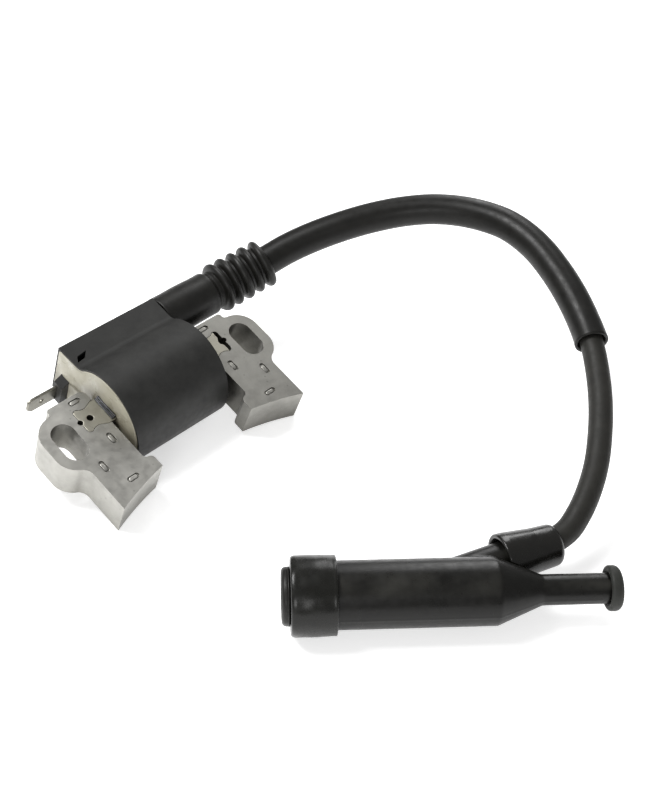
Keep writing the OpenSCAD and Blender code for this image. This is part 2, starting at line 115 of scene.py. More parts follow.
def add_light(name, where, aim, size, power):
    """A soft box of this size in metres and power in watts, pointed at aim."""
    data = bpy.data.lights.new(name, "AREA")
    data.shape = "RECTANGLE"
    data.size, data.size_y = size
    data.energy = power
    light = bpy.data.objects.new(name, data)
    bpy.context.scene.collection.objects.link(light)
    light.location = where
    light.rotation_euler = (Vector(aim) - Vector(where)).to_track_quat("-Z", "Y").to_euler()


def add_studio():
    """White surroundings, three soft boxes and a pale floor."""
    scene = bpy.context.scene
    scene.view_settings.view_transform = "Standard"
    world = bpy.data.worlds.new("studio")
    world.use_nodes = True
    background = world.node_tree.nodes["Background"]
    background.inputs["Color"].default_value = (1.0, 1.0, 1.0, 1.0)
    background.inputs["Strength"].default_value = 0.36
    scene.world = world
    middle = (0.03, -0.03, 0.01)
    add_light("key", (-0.20, 0.30, 0.75), middle, (0.40, 0.25), 6.5)
    add_light("fill", (-0.65, -0.45, 0.40), middle, (0.3, 0.3), 1.8)
    add_light("rim", (0.60, 0.30, 0.45), middle, (0.2, 0.5), 1.8)
    mesh = bpy.data.meshes.new("floor")
    sides, radius = 96, 4
    ring = [(radius * math.cos(2 * math.pi * k / sides), radius * math.sin(2 * math.pi * k / sides), 0)
            for k in range(sides)]
    mesh.from_pydata(ring, [], [list(range(sides))])
    floor = bpy.data.objects.new("floor", mesh)
    scene.collection.objects.link(floor)
    look = Look("floor_paper")
    look.shade(
        colour=look.tones([(0.0, (0.86, 0.86, 0.86)), (1.0, (0.90, 0.90, 0.90))], look.grain(90, 3)),
        rough=0.9,
    )
    look.bsdf.inputs["Emission Color"].default_value = (1.0, 1.0, 1.0, 1.0)
    look.bsdf.inputs["Emission Strength"].default_value = 0.58
    mesh.materials.append(look.material)


# ---------------------------------------------------------------- materials

BEVEL_MARK = "bevel_mark"


class Look:
    """Builds one procedural material. Grain sizes are cycles per metre of the part."""

    def __init__(self, name):
        self.material = bpy.data.materials.new(name)
        self.material.use_nodes = True
        self.tree = self.material.node_tree
        self.bsdf = self.tree.nodes["Principled BSDF"]
        self.where = self.node("ShaderNodeTexCoord").outputs["Object"]
        self.last_bump = None

    def node(self, kind, **settings):
        made = self.tree.nodes.new(kind)
        for key, value in settings.items():
            setattr(made, key, value)
        return made

    def link(self, out, socket):
        self.tree.links.new(out, socket)

    def stretched(self, m, scale):
        """Coordinates in frame m, in metres, scaled along its axes."""
        mapping = self.node("ShaderNodeMapping", vector_type="POINT")
        inverse = m.inverted()
        mapping.inputs["Location"].default_value = inverse.translation
        mapping.inputs["Rotation"].default_value = inverse.to_euler()
        self.link(self.where, mapping.inputs["Vector"])
        scaler = self.node("ShaderNodeVectorMath", operation="MULTIPLY")
        scaler.inputs[1].default_value = scale
        self.link(mapping.outputs["Vector"], scaler.inputs[0])
        return scaler.outputs["Vector"]

    def grain(self, scale, detail=4.0, roughness=0.55, vector=None):
        """Fractal noise around 0.5."""
        n = self.node("ShaderNodeTexNoise")
        n.inputs["Scale"].default_value = scale
        n.inputs["Detail"].default_value = detail
        n.inputs["Roughness"].default_value = roughness
        self.link(vector or self.where, n.inputs["Vector"])
        return n.outputs["Fac"]

    def specks(self, scale, size):
        """1 on small scattered dots, 0 elsewhere."""
        v = self.node("ShaderNodeTexVoronoi")
        v.inputs["Scale"].default_value = scale
        self.link(self.where, v.inputs["Vector"])
        return self.remap(v.outputs["Distance"], size, size * 0.6, 0.0, 1.0)

    def remap(self, value, low, high, to_low=0.0, to_high=1.0):
        """value taken from low..high to to_low..to_high, and held at its ends."""
        r = self.node("ShaderNodeMapRange")
        r.inputs["From Min"].default_value = low
        r.inputs["From Max"].default_value = high
        r.inputs["To Min"].default_value = to_low
        r.inputs["To Max"].default_value = to_high
        self.link(value, r.inputs["Value"])
        return r.outputs["Result"]

    def times(self, a, b):
        m = self.node("ShaderNodeMath", operation="MULTIPLY")
        self.link(a, m.inputs[0])
        if isinstance(b, (int, float)):
            m.inputs[1].default_value = b
        else:
            self.link(b, m.inputs[1])
        return m.outputs["Value"]

    def tones(self, stops, value):
        """A colour ramp of (place, colour) stops, driven by value."""
        ramp = self.node("ShaderNodeValToRGB")
        elements = ramp.color_ramp.elements
        while len(elements) < len(stops):
            elements.new(0.5)
        for element, (at, colour) in zip(elements, stops):
            element.position = at
            element.color = (*colour, 1.0)
        self.link(value, ramp.inputs["Fac"])
        return ramp.outputs["Color"]

    def over(self, under, colour, mask):
        """colour laid over under where mask is 1."""
        mix = self.node("ShaderNodeMix", data_type="RGBA")
        self.link(mask, mix.inputs["Factor"])
        self.link(under, mix.inputs["A"])
        mix.inputs["B"].default_value = (*colour, 1.0)
        return mix.outputs["Result"]

    def bevel_mark(self):
        """1 on the rounded edges of a hard part, from the mesh's own mark."""
        return self.node("ShaderNodeAttribute", attribute_name=BEVEL_MARK).outputs["Fac"]

    def edges(self, low, high):
        """1 on convex edges of a finely meshed part, 0 on flats and hollows."""
        g = self.node("ShaderNodeNewGeometry")
        return self.remap(g.outputs["Pointiness"], low, high)

    def shelter(self, reach):
        """1 in the open, falling towards 0 in holes and gaps narrower than reach metres."""
        a = self.node("ShaderNodeAmbientOcclusion", samples=8)
        a.inputs["Distance"].default_value = reach
        return a.outputs["AO"]

    def facing(self, direction, low, high):
        """0 to 1 as the surface turns towards a direction of the row frame."""
        g = self.node("ShaderNodeNewGeometry")
        d = self.node("ShaderNodeVectorMath", operation="DOT_PRODUCT")
        self.link(g.outputs["Normal"], d.inputs[0])
        d.inputs[1].default_value = direction
        return self.remap(d.outputs["Value"], low, high)

    def bump(self, height, depth, strength=1.0):
        """Adds relief of this depth in metres."""
        b = self.node("ShaderNodeBump")
        b.inputs["Strength"].default_value = strength
        b.inputs["Distance"].default_value = depth
        self.link(height, b.inputs["Height"])
        if self.last_bump is not None:
            self.link(self.last_bump, b.inputs["Normal"])
        self.last_bump = b.outputs["Normal"]

    def shade(self, colour, rough, metallic=0.0, specular=0.5, coat=0.0, coat_rough=0.2):
        self.link(colour, self.bsdf.inputs["Base Color"])
        if isinstance(rough, (int, float)):
            self.bsdf.inputs["Roughness"].default_value = rough
        else:
            self.link(rough, self.bsdf.inputs["Roughness"])
        self.bsdf.inputs["Metallic"].default_value = metallic
        self.bsdf.inputs["Specular IOR Level"].default_value = specular
        self.bsdf.inputs["Coat Weight"].default_value = coat
        self.bsdf.inputs["Coat Roughness"].default_value = coat_rough
        if self.last_bump is not None:
            self.link(self.last_bump, self.bsdf.inputs["Normal"])
        return self.material


def grey(v, warm=0.0):
    """A grey, a little yellowish or, with a negative warm, bluish."""
    return (v * (1 + warm), v * (1 + 0.6 * warm), v * (1 - warm))


def steel_look(name, tone, warm, brush=(60, 500, 500)):
    """Satin blanked steel: faint brushing, stains, a fine sparkle, bright edges that are partly wear and partly a
    painted highlight, and painted shade in holes and gaps.
    """
    look = Look(name)
    fine = look.grain(5200, 2)
    brushed = look.grain(14, 3, 0.6, look.stretched(COIL, brush))
    stains = look.grain(130, 5, 0.65)
    base = look.tones(
        [(0.25, grey(tone * 0.80, warm)), (0.5, grey(tone, warm)), (0.75, grey(tone * 1.14, warm))],
        stains)
    base = look.over(base, grey(tone * 0.55, warm), look.times(look.specks(330, 0.10), 0.5))
    # Brighter rounded edges: partly edge wear, partly a painted highlight along them.
    base = look.over(base, grey(min(0.95, tone * 1.8), warm), look.times(look.bevel_mark(), 0.8))
    # Painted shade: the ambient-occlusion mask darkens holes, slots, gaps and the sides near the floor to a dark
    # warm grey.
    painted_hollow_shade = look.remap(look.shelter(0.012), 0.25, 0.85, 0.85, 0.0)
    base = look.over(base, grey(tone * 0.22, 0.12), painted_hollow_shade)
    look.bump(fine, 0.00001, 0.5)
    look.bump(brushed, 0.000015, 0.5)
    rough = look.remap(look.grain(420, 4), 0.3, 0.7, 0.36, 0.52)
    return look.shade(base, rough, metallic=1.0)


def plated_look(name, tone, warm, low, high):
    """Thin plated sheet: brighter, with cloudy roughness and scratches."""
    look = Look(name)
    clouds = look.grain(600, 5, 0.6)
    base = look.tones([(0.3, grey(tone * 0.7, warm)), (0.7, grey(tone * 1.15, warm))], clouds)
    # Brighter rounded edges: partly wear, partly a painted highlight along them.
    base = look.over(base, grey(min(0.95, tone * 1.5), warm), look.bevel_mark())
    scratches = look.grain(30, 2, 0.5, look.stretched(COIL, (2500, 150, 150)))
    look.bump(scratches, 0.00001, 0.6)
    return look.shade(base, look.remap(clouds, 0.3, 0.7, low, high), metallic=1.0)


def moulded_look(name, tone, tint, low, high, dust=0.15, relief=0.00001, specular=0.3, hard=False,
                 highlight_and_dust_side=None):
    """Black moulded plastic or rubber: mottled, with a fine skin and, on one side, a paler band that is partly a
    film of dust and partly a painted highlight.
    """
    look = Look(name)
    mottle = look.grain(240, 5, 0.6)
    dark = tuple(tone * 0.75 * t for t in tint)
    light = tuple(tone * 1.3 * t for t in tint)
    base = look.tones([(0.3, dark), (0.7, light)], mottle)
    pale = tuple(min(1.0, tone * 6 * t) for t in tint)
    base = look.over(base, pale, look.times(look.specks(900, 0.13), dust))
    rubbed = look.bevel_mark() if hard else look.edges(0.56, 0.70)
    base = look.over(base, tuple(tone * 2.6 * t for t in tint), look.times(rubbed, 0.4))
    if highlight_and_dust_side is not None:
        # Painted highlight with dust: a paler band, in patches, on the faces turned towards
        # highlight_and_dust_side.
        patches = look.remap(look.grain(110, 3), 0.30, 0.70)
        highlight_and_dust = look.times(look.facing(highlight_and_dust_side, 0.90, 1.0), patches)
        base = look.over(base, (0.050, 0.049, 0.043), look.times(highlight_and_dust, 0.5))
    look.bump(look.grain(2600, 3), relief, 0.6)
    look.bump(look.grain(350, 3), relief * 6, 0.4)
    rough = look.remap(look.grain(520, 4), 0.3, 0.7, low, high)
    return look.shade(base, rough, specular=specular)


def resin_look():
    """Cast resin: cream, cloudy, with soft waves, a gloss that comes and goes, and painted shade in its hollows.
    """
    look = Look("cast_resin")
    clouds = look.grain(160, 5, 0.6)
    base = look.tones(
        [(0.25, (0.33, 0.31, 0.235)), (0.5, (0.41, 0.39, 0.31)), (0.8, (0.48, 0.465, 0.39))], clouds)
    base = look.over(base, (0.30, 0.26, 0.18), look.times(look.specks(420, 0.07), 0.25))
    # Painted shade: the ambient-occlusion mask darkens the resin in hollows, at the case's rim and next to the
    # parts that stand in it.
    base = look.over(base, (0.13, 0.11, 0.07), look.remap(look.shelter(0.006), 0.3, 0.95, 0.65, 0.0))
    look.bump(look.grain(420, 4), 0.00003, 0.5)
    look.bump(look.grain(2400, 2), 0.000008, 0.4)
    rough = look.remap(look.grain(300, 3), 0.3, 0.7, 0.22, 0.42)
    return look.shade(base, rough, coat=0.15, coat_rough=0.2)


def wire_look():
    """Layers of enamelled wire, as fine rings round the coil's axis."""
    look = Look("enamelled_wire")
    turns = look.node("ShaderNodeTexWave", wave_type="BANDS", bands_direction="X")
    turns.inputs["Scale"].default_value = 1.0
    turns.inputs["Distortion"].default_value = 0.4
    look.link(look.stretched(COIL, (1600, 1, 1)), turns.inputs["Vector"])
    base = look.tones([(0.1, (0.20, 0.07, 0.03)), (0.8, (0.62, 0.27, 0.11))], turns.outputs["Fac"])
    look.bump(turns.outputs["Fac"], 0.00004)
    rough = look.remap(look.grain(700, 3), 0.3, 0.7, 0.25, 0.40)
    return look.shade(base, rough, metallic=0.8)


def plain_look(name, dark, light, low, high, metallic=0.0, scale=300, relief=0.00001):
    """A moulded, laminated or drawn surface in two close tones."""
    look = Look(name)
    base = look.tones([(0.3, dark), (0.7, light)], look.grain(scale, 5))
    base = look.over(base, tuple(min(1.0, c * 1.5) for c in light), look.times(look.bevel_mark(), 0.5))
    look.bump(look.grain(scale * 8, 3), relief, 0.6)
    rough = look.remap(look.grain(scale * 1.7, 4), 0.3, 0.7, low, high)
    return look.shade(base, rough, metallic=metallic)


# ---------------------------------------------------------------- mesh tools

def add_piece(name, mesh, body, look, stands_for=()):
    """A finished mesh, in metres in the row frame, as a piece that rides on a body."""
    mesh.materials.clear()
    mesh.materials.append(look)
    obj = bpy.data.objects.new(name, mesh)
    bpy.context.scene.collection.objects.link(obj)
    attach(obj, body)
    if stands_for:
        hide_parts(*stands_for)
    return obj


def mesh_from(name, points, faces):
    mesh = bpy.data.meshes.new(name)
    mesh.from_pydata([tuple(p) for p in points], [], faces)
    mesh.validate()
    b = bmesh.new()
    b.from_mesh(mesh)
    bmesh.ops.recalc_face_normals(b, faces=b.faces)
    b.to_mesh(mesh)
    b.free()
    mesh.shade_smooth()
    return mesh


def settled(obj):
    """obj's mesh with its modifiers applied, as a new mesh."""
    bpy.context.view_layer.update()
    graph = bpy.context.evaluated_depsgraph_get()
    return bpy.data.meshes.new_from_object(obj.evaluated_get(graph))


def with_modifiers(name, mesh, modifiers):
    """A copy of mesh with each (kind, settings) modifier applied in turn."""
    work = bpy.data.objects.new(name, mesh.copy())
    bpy.context.scene.collection.objects.link(work)
    for kind, settings in modifiers:
        m = work.modifiers.new(kind.lower(), kind)
        for key, value in settings.items():
            setattr(m, key, value)
    done = settled(work)
    bpy.data.objects.remove(work)
    done.name = name
    return done


def clean_copy(node):
    """The CAD node's mesh with welded points and whole flat faces, without its stored normals."""
    source = NODES[node].data
    mesh = bpy.data.meshes.new(node + "_copy")
    mesh.from_pydata([v.co for v in source.vertices], [], [tuple(p.vertices) for p in source.polygons])
    b = bmesh.new()
    b.from_mesh(mesh)
    bmesh.ops.remove_doubles(b, verts=b.verts, dist=2e-6)
    bmesh.ops.dissolve_limit(b, angle_limit=math.radians(0.2), verts=b.verts, edges=b.edges)
    b.to_mesh(mesh)
    b.free()
    mesh.shade_smooth()
    return mesh


def edged(node, width, segments=2, angle=30):
    """The CAD node's shape with its sharp edges rounded off by width millimetres.
    The rounded faces are marked in the bevel_mark attribute."""
    flats = clean_copy(node)
    for _ in range(2):
        flats.materials.append(None)
    mesh = with_modifiers(node + "_edged", flats, [
        ("BEVEL", {"width": width * MM, "segments": segments, "limit_method": "ANGLE",
                   "angle_limit": math.radians(angle), "material": 1}),
        ("WEIGHTED_NORMAL", {"keep_sharp": True, "weight": 80}),
    ])
    bevel_mark = mesh.attributes.new(BEVEL_MARK, "FLOAT", "FACE")
    for p, mark in zip(mesh.polygons, bevel_mark.data):
        mark.value = p.material_index
        p.material_index = 0
    return mesh


def moulded(node, voxel, rounds):
    """The CAD node's shape remeshed finely and smoothed, as soft moulded rubber."""
    return with_modifiers(node + "_moulded", clean_copy(node), [
        ("REMESH", {"mode": "VOXEL", "voxel_size": voxel * MM, "use_smooth_shade": True}),
        ("SMOOTH", {"factor": 0.5, "iterations": rounds}),
    ])


def coordinates(mesh):
    co = np.empty(len(mesh.vertices) * 3)
    mesh.vertices.foreach_get("co", co)
    return co.reshape(-1, 3)


def set_coordinates(mesh, co):
    mesh.vertices.foreach_set("co", co.ravel())
    mesh.update()


def in_frame(m, co):
    """Row-frame metres to millimetres in frame m."""
    inverse = np.array(m.inverted())
    return (co @ inverse[:3, :3].T + inverse[:3, 3]) / MM


def out_of_frame(m, co):
    matrix = np.array(m)
    return (co * MM) @ matrix[:3, :3].T + matrix[:3, 3]


def arc(cx, cr, radius, start, end, steps=8):
    """Points (x, r) on an arc, in degrees from the +x direction towards +r."""
    turns = [math.radians(start + (end - start) * k / steps) for k in range(steps + 1)]
    return [(cx + radius * math.cos(a), cr + radius * math.sin(a)) for a in turns]


def wheel_faces(sides, n):
    """Faces between sides copies of a closed outline of n points, set round an axis."""
    faces = []
    for k in range(sides):
        a, b = k * n, (k + 1) % sides * n
        for j in range(n):
            i = (j + 1) % n
            faces.append((a + j, a + i, b + i, b + j))
    return faces


def stack_faces(loops, n):
    """Faces between neighbouring loops of n points each."""
    faces = []
    for k in range(loops - 1):
        for j in range(n):
            i = (j + 1) % n
            faces.append((k * n + j, k * n + i, (k + 1) * n + i, (k + 1) * n + j))
    return faces


def turned(name, m, profile, sides=128, wobble=0.0, seed=0.0):
    """A closed outline of (x, radius) points, turned about frame m's X axis.
    wobble is the largest unevenness of the surface, in millimetres."""
    points = []
    for k in range(sides):
        a = 2 * math.pi * k / sides
        c, s = math.cos(a), math.sin(a)
        for x, r in profile:
            uneven = wobble * noise.noise(Vector((x * 0.22 + seed, c * r * 0.22, s * r * 0.22)))
            points.append(place(m, x, (r + uneven) * c, (r + uneven) * s))
    return mesh_from(name, points, wheel_faces(sides, len(profile)))


# ---------------------------------------------------------------- lead and sleeve

LEAD_D = 6.2
SLEEVE_D = 8.8
SLEEVE_WALL = 0.85
FIRST_RIDGE, RIDGES = 3, 5
SLEEVE_FROM, SLEEVE_TO = 4, 21
# The route is the one in part.scad: along the tower's axis, then free, in millimetres in the row
# frame, then along the branch's axis down to the lead's end in the cap.
LEAD_STARTS = (19.5, 30, 33)
LEAD_MIDDLE = [
    (37.5, 16.4, 21.8), (41, 15.8, 22.4), (44.4, 14.9, 23.2), (47.8, 14, 24.1), (51.1, 12.9, 25.1),
    (59.1, 10.2, 27.9), (66.8, 6.5, 30.4), (74.3, 2.1, 32.6), (81.5, -2.6, 34.3), (88.2, -8.2, 35.8),
    (94, -15, 37), (98.4, -23, 37.6), (101.1, -32.3, 37.6), (101.3, -38.8, 37.1),
    (99.9, -46.9, 35.9), (96.5, -56.2, 33.9), (92.3, -64.9, 31.5), (87.6, -72.8, 28.8),
    (84.6, -77, 27.2), (79.1, -82.9, 24.7), (72.3, -89, 21.9), (65.2, -94.2, 19.2),
    (57.2, -99, 16.4), (49.4, -102.3, 14.1), (43.5, -103.9, 12.2), (38.5, -104.4, 10.4),
]
LEAD_ENDS = (39, 35, 28, 22, 16)
ROUTE = (
    [place(TOWER, x, 0, 0) for x in LEAD_STARTS]
    + [Vector(p) * MM for p in LEAD_MIDDLE]
    + [place(BRANCH, s, 0, 0) for s in LEAD_ENDS]
)


def headings(route):
    steps = [(b - a).normalized() for a, b in zip(route, route[1:])]
    inner = [(a + b).normalized() for a, b in zip(steps, steps[1:])]
    return [steps[0], *inner, steps[-1]]


def centre_line(first, last, per_stretch=7):
    """Points and directions of the smooth curve through ROUTE[first] to ROUTE[last]."""
    turns = headings(ROUTE)
    points = []
    for i in range(first, last):
        p, q = ROUTE[i], ROUTE[i + 1]
        h = (q - p).length
        for k in range(per_stretch):
            t = k / per_stretch
            points.append(
                (2 * t**3 - 3 * t**2 + 1) * p + (t**3 - 2 * t**2 + t) * h * turns[i]
                + (3 * t**2 - 2 * t**3) * q + (t**3 - t**2) * h * turns[i + 1])
    points.append(ROUTE[last].copy())
    return points, headings(points)


def tube(name, path, sections, sides=48):
    """A closed tube along path. sections(k) gives the radii, in millimetres, of the closed
    outline's points at the path's point k: outside first, then the inside if there is one."""
    points, directions = path
    side = directions[0].cross(UP).normalized()
    rings = []
    for k, (p, d) in enumerate(zip(points, directions)):
        side = (side - side.dot(d) * d).normalized()
        up = d.cross(side)
        rings.append([
            [p + (side * math.cos(a) + up * math.sin(a)) * radius(a) * MM
             for a in (2 * math.pi * j / sides for j in range(sides))]
            for radius in sections(k)])
    shells = len(rings[0])
    verts, faces = [], []
    for ring in rings:
        for loop in ring:
            verts.extend(loop)
    stride = shells * sides
    for k in range(len(rings) - 1):
        for s in range(shells):
            for j in range(sides):
                a = k * stride + s * sides + j
                b = k * stride + s * sides + (j + 1) % sides
                faces.append((a, b, b + stride, a + stride))
    for k in (0, len(rings) - 1):
        base = k * stride
        if shells == 1:
            faces.append(tuple(range(base, base + sides)))
        else:
            for j in range(sides):
                i = (j + 1) % sides
                faces.append((base + j, base + i, base + sides + i, base + sides + j))
    return mesh_from(name, verts, faces)


def add_lead(look):
    """The whole lead, and the points of its centre line."""
    path = centre_line(0, len(ROUTE) - 1)
    ripple = 0.02

    def sections(k):
        return [lambda a: LEAD_D / 2 - ripple + ripple * math.cos(3 * a + k * 0.15)]

    mesh = tube("lead", path, sections)
    lead = add_piece("lead", mesh, ROOT, look, ["ignition_lead"])
    return lead, path[0]


def add_sleeve(look):
    """The protective sleeve, slightly flared at its open end."""
    path = centre_line(SLEEVE_FROM, SLEEVE_TO)
    last = len(path[0]) - 1
    widest, fade = 0.18, 0.64

    def sections(k):
        flare = widest * math.exp(-fade * (last - k))
        lip = -0.12 if k == last else 0.0
        outer = SLEEVE_D / 2 - 0.04 + flare + lip
        inner = SLEEVE_D / 2 - SLEEVE_WALL + flare - lip
        return [
            lambda a: outer + 0.05 * noise.noise(Vector((k * 0.12, math.cos(a), math.sin(a)))),
            lambda a: inner,
        ]

    mesh = tube("sleeve", path, sections)
    return add_piece("sleeve", mesh, ROOT, look, ["lead_sleeve"])


# ---------------------------------------------------------------- coil module

BOOT_START = 15.6
GROOVE_R = 5.55
BORE_R = 4.5
CASE_X0 = -15.8
COIL_Y = 13.8
BLOCK_Y = 33.3


def bellows_line():
    """The lead's line inside the boot: stations in millimetres, points and directions.
    The straight first part has the station equal to the tower frame's x."""
    per_stretch = 12
    points, directions = centre_line(0, FIRST_RIDGE + RIDGES, per_stretch)
    stations = [LEAD_STARTS[0]]
    for a, b in zip(points, points[1:]):
        stations.append(stations[-1] + (b - a).length / MM)
    ridges = [stations[(FIRST_RIDGE + k) * per_stretch] for k in range(RIDGES)]
    points.insert(0, place(TOWER, 0, 0, 0))
    directions.insert(0, directions[0])
    return [0.0, *stations], np.array(points), np.array(directions), ridges


def bellows_outline(ridges):
    """Outside of the boot from mouth to end, then back along its bore."""
    def ridge_radius(x):
        k = min(range(RIDGES), key=lambda n: abs(x - ridges[n]))
        u = min(1.0, abs(x - ridges[k]) / 1.42)
        tall = 7.22 - 0.05 * k - GROOVE_R
        return GROOVE_R + tall * (1 - u * u) ** 0.62

    end = ridges[-1] + 1.1
    mouth = arc(BOOT_START + 0.5, 5.65, 0.5, 180, 90, 5)
    body = [(x, 6.17 + 0.05 * math.cos((x - 24) * 0.35)) for x in np.arange(17, 33, 1.0)]
    shoulder = arc(32.9, 4.3, 1.9, 84, 32, 8)
    waves = [(x, ridge_radius(x)) for x in np.linspace(35.0, end, int((end - 35.0) / 0.11))]
    lip = arc(end + 0.05, 5.2, 0.35, 70, -70, 5)
    bore = [(end - 0.3, BORE_R), (45, BORE_R), (38, BORE_R), (31.4, BORE_R)]
    bore += [(31.3, 4.85), (16.2, 4.85), (15.7, 5.2)]
    return mouth + body + shoulder + waves + lip + bore


def add_bellows(look):
    """The boot, swept round the bending line of the lead."""
    stations, line, directions, ridges = bellows_line()
    outline = bellows_outline(ridges)
    rings = []
    for x, r in outline:
        centre = Vector([np.interp(x, stations, line[:, axis]) for axis in range(3)])
        ahead = Vector([np.interp(x, stations, directions[:, axis]) for axis in range(3)])
        rings.append((frame_at(centre, ahead.normalized(), UP), x, r))
    sides, wobble = 144, 0.07
    points = []
    for k in range(sides):
        c, s = math.cos(2 * math.pi * k / sides), math.sin(2 * math.pi * k / sides)
        for m, x, r in rings:
            uneven = wobble * noise.noise(Vector((x * 0.22 + 3, c * r * 0.22, s * r * 0.22)))
            points.append(place(m, 0, (r + uneven) * c, (r + uneven) * s))
    mesh = mesh_from("bellows", points, wheel_faces(sides, len(rings)))
    return add_piece("bellows", mesh, ROOT, look, ["bellows_boot"])


def case_rim(inset):
    """Outline (y, z) of the case's open end, inset millimetres inside it, anticlockwise."""
    round_r, middle, half, fillet_r = 13.9, COIL_Y, 8.4, 3.0
    r, h, b, f = round_r - inset, half - inset, BLOCK_Y - inset, fillet_r + inset
    cz = h + f
    reach = math.sqrt((r + f) ** 2 - cz**2)
    meet = math.degrees(math.atan2(cz, reach))
    top = arc(middle + reach, cz, f, 270, 180 + meet, 8)
    around = arc(middle, 0, r, meet, 360 - meet, 90)
    bottom = [(y, -z) for y, z in reversed(top)]
    corner = 0.6
    side = [(y, -h) for y in np.linspace(middle + reach + 0.8, b - corner, 14)]
    low = arc(b - corner, -h + corner, corner, 270, 360, 4)
    rear = [(b, z) for z in np.linspace(-h + corner + 0.8, h - corner - 0.8, 18)]
    high = arc(b - corner, h - corner, corner, 0, 90, 4)
    flat = [(y, h) for y in np.linspace(b - corner - 0.8, middle + reach + 0.8, 14)]
    return top + around[1:-1] + bottom + side + low + rear + high + flat


def end_x(y):
    """Place of the case's open end: square to the coil, then slanting out at the back."""
    slant, slant_y = 0.6, 20.5
    return CASE_X0 - slant * max(0.0, y - slant_y) / (BLOCK_Y - slant_y)


def resin_height(y, z, depth):
    """How far the resin stands proud of the case's end, at a point depth mm inside its edge."""
    proud = 0.12 * math.exp(-depth / 0.5) + 0.02
    holder = math.hypot(max(0, abs(y - 28.8) - 1.6), max(0, abs(z + 3.4) - 4.6))
    bar = math.hypot(max(0, abs(y - 13.3) - 3.9), max(0, abs(z) - 5.4))
    proud += 0.30 * math.exp(-holder / 0.7) + 0.16 * math.exp(-bar / 0.8)
    waves = noise.noise(Vector((y * 0.20, z * 0.20, 1.7)))
    folds = noise.noise(Vector((y * 0.50, z * 0.50, 5.1)))
    return proud + (0.10 + 0.42 * waves + 0.12 * folds) * (1 - math.exp(-depth / 1.4))


def add_resin_face(look):
    """The uneven cast surface at the case's open end, lapping over part of the rim."""
    behind, back_x, spine_end = 0.04, -15.0, 27.5
    rim = case_rim(0.55)
    inner = case_rim(1.3)
    count = len(rim)
    steps = [0, 0.03, 0.07, 0.12, 0.2, 0.3, 0.4, 0.5, 0.6, 0.7, 0.8, 0.9, 0.97]
    points = [place(COIL, back_x, y, z) for y, z in inner]
    points += [place(COIL, end_x(y) + behind, y, z) for y, z in rim]
    for t in steps:
        for y, z in case_rim(0.60):
            spine = min(spine_end, max(COIL_Y, y))
            py, pz = y + (spine - y) * t, z * (1 - t)
            depth = math.hypot(y - py, z - pz)
            points.append(place(COIL, end_x(py) + behind - resin_height(py, pz, depth), py, pz))
    loops = len(steps) + 2
    last = (loops - 1) * count
    faces = [tuple(range(count)), *stack_faces(loops, count), tuple(range(last, last + count))]
    mesh = mesh_from("resin_face", points, faces)
    return add_piece("resin_face", mesh, ROOT, look)


# Place (x, y) and turn of each interlock on a leg; x is mirrored for the left leg.
DIMPLES = [(20.7, 5.5, 0), (27.5, 0.0, 0), (23.5, -6.5, 90), (21.8, 19.2, 90)]
LEG_TOP = 5.4
DIMPLE_DEPTH = 0.35


def interlock_tab(side, x, y, turn):
    """The pressed tab in a dimple: an oblong with dipping ends, a hair below the face."""
    half, r = 0.75, 0.56
    outline = [(half + px, pr) for px, pr in arc(0, 0, r, -90, 90, 8)]
    outline += [(-half + px, pr) for px, pr in arc(0, 0, r, 90, 270, 8)]
    a = math.radians(turn + 90)
    base = LEG_TOP - DIMPLE_DEPTH

    def at(px, py, pz):
        return place(COIL, side * (x + px * math.cos(a) - py * math.sin(a)),
                     y + px * math.sin(a) + py * math.cos(a), pz)

    rings = [(1.0, base), (1.0, LEG_TOP - 0.17), (0.86, LEG_TOP - 0.09), (0.45, LEG_TOP - 0.07)]
    points, n = [], len(outline)
    for scale, z in rings:
        for px, py in outline:
            dip = 0.10 * max(0.0, abs(px) - 0.7) if z > base else 0.0
            points.append(at(px * scale, py * scale, z - dip))
    last = (len(rings) - 1) * n
    faces = [*stack_faces(len(rings), n), tuple(range(n)), tuple(range(last, last + n))]
    return points, faces


def add_legs(look_left, look_right):
    """Both legs, each with the pressed tabs of its interlocks."""
    for side, name, look in ((-1, "left_core_leg", look_left), (1, "right_core_leg", look_right)):
        add_piece(name + "_stack", edged(name, 0.22, 3), ROOT, look, [name])
        points, faces = [], []
        for x, y, turn in DIMPLES:
            p, f = interlock_tab(side, x, y, turn)
            faces += [tuple(i + len(points) for i in face) for face in f]
            points += p
        mesh = mesh_from(name + "_interlocks", points, faces)
        add_piece(name + "_interlocks", mesh, ROOT, look)


def add_hard_parts(looks):
    """The bar, case, holder, blade and clip, with rounded edges of these widths in millimetres."""
    for node, slot, look, width in (
        ("core_bar", "bar_steel", looks["bar"], 0.12),
        ("coil_case", "case_plastic", looks["case"], 0.30),
        ("terminal_holder", "holder_plastic", looks["holder"], 0.12),
        ("kill_terminal", "terminal_tin", looks["tin"], 0.10),
        ("ground_clip", "clip_steel", looks["clip"], 0.08),
    ):
        add_piece(node + "_edged", edged(node, width), ROOT, look, [node])


# ---------------------------------------------------------------- plug cap

